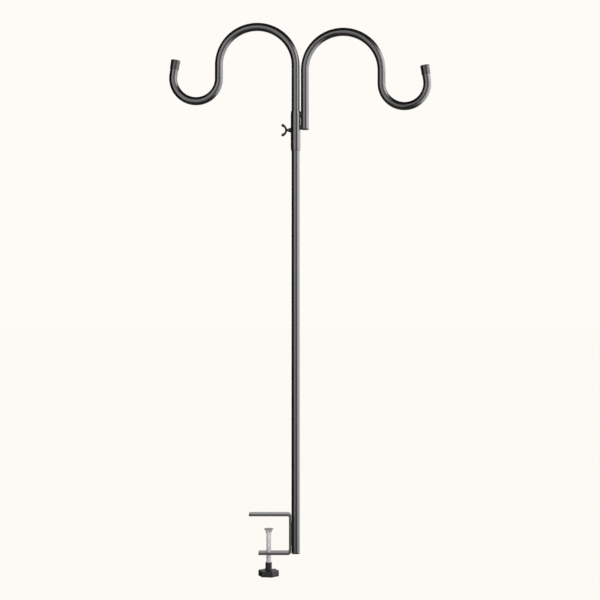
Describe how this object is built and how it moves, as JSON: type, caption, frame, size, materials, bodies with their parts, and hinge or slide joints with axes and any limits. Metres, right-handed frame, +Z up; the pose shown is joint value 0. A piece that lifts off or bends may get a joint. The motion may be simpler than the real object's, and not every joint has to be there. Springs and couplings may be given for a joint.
{
  "type": "hanging plant stand",
  "caption": "Clamp-on hanging plant stand: slim steel pole with swivelling crook hooks at the top, a locking sleeve with a wing screw, and a C-shaped screw clamp with a hand knob at the foot.",
  "frame": {"origin": "where the clamp screw's axis meets the flat underside of the clamp's upper jaw", "axes": "+Z up along the pole, +X from the clamp screw towards the pole and on to the side hook, -X towards the main hook and the jaws' free ends, +Y away from the picture's camera"},
  "size_m": [0.5036, 0.0382, 1.062],
  "materials": {
    "powder_coat": "satin-gloss black powder coat on steel, neutral to slightly warm",
    "zinc": "bright zinc plating, lightly drawn",
    "black_plastic": "moulded black plastic, semi-matt",
    "black_vinyl": "soft black vinyl, dull"
  },
  "bodies": {
    "post": {"post_tube": "powder_coat", "post_foot_plug": "black_plastic", "bracket_weld_front": "powder_coat", "bracket_weld_back": "powder_coat", "clamp_bracket": "powder_coat"},
    "side_hook": {"coupling_sleeve": "powder_coat", "wing_screw_boss": "powder_coat", "side_hook_tube": "powder_coat", "side_hook_tip_cap": "black_vinyl", "side_hook_foot_plug": "black_plastic", "side_hook_weld_upper_front": "powder_coat", "side_hook_weld_upper_back": "powder_coat", "side_hook_weld_lower_front": "powder_coat", "side_hook_weld_lower_back": "powder_coat"},
    "main_hook": {"main_hook_tube": "powder_coat", "main_hook_tip_cap": "black_vinyl", "joint_spigot": "zinc"},
    "wing_screw": {"wing_screw_shank": "powder_coat"},
    "wing_head": {"wing_screw_head": "powder_coat"},
    "clamp_pad": {"clamp_pad": "zinc"},
    "clamp_screw": {"clamp_screw": "zinc", "clamp_knob": "black_plastic", "knob_insert": "zinc"}
  },
  "joints": [
    {"name": "side_hook_swing", "type": "hinge", "parent": "post", "child": "side_hook", "pos_m": [0.05174, 0, 0.74], "axis": [0, 0, 1], "continuous": true},
    {"name": "main_hook_swing", "type": "hinge", "parent": "side_hook", "child": "main_hook", "pos_m": [0.05174, 0, 0.7615], "axis": [0, 0, 1], "range_deg": [-170, 170]},
    {"name": "wing_screw_travel", "type": "slide", "parent": "side_hook", "child": "wing_screw", "axis": [-1, 0, 0], "range_m": [0, 0.004]},
    {"name": "wing_screw_turn", "type": "hinge", "parent": "wing_screw", "child": "wing_head", "pos_m": [0.0375, 0, 0.7394], "axis": [-1, 0, 0], "range_deg": [0, 1800]},
    {"name": "clamp_pad_travel", "type": "slide", "parent": "post", "child": "clamp_pad", "axis": [0, 0, 1], "range_m": [-0.034, 0.0155]},
    {"name": "clamp_screw_turn", "type": "hinge", "parent": "clamp_pad", "child": "clamp_screw", "pos_m": [0, 0, -0.03], "axis": [0, 0, 1], "range_deg": [-8160, 3720]}
  ],
  "couplings": [
    {"joint": "wing_screw_travel", "follows": "wing_screw_turn", "m_per_rad": 0.00012732},
    {"joint": "clamp_screw_turn", "follows": "clamp_pad_travel", "rad_per_m": 4188.8}
  ]
}
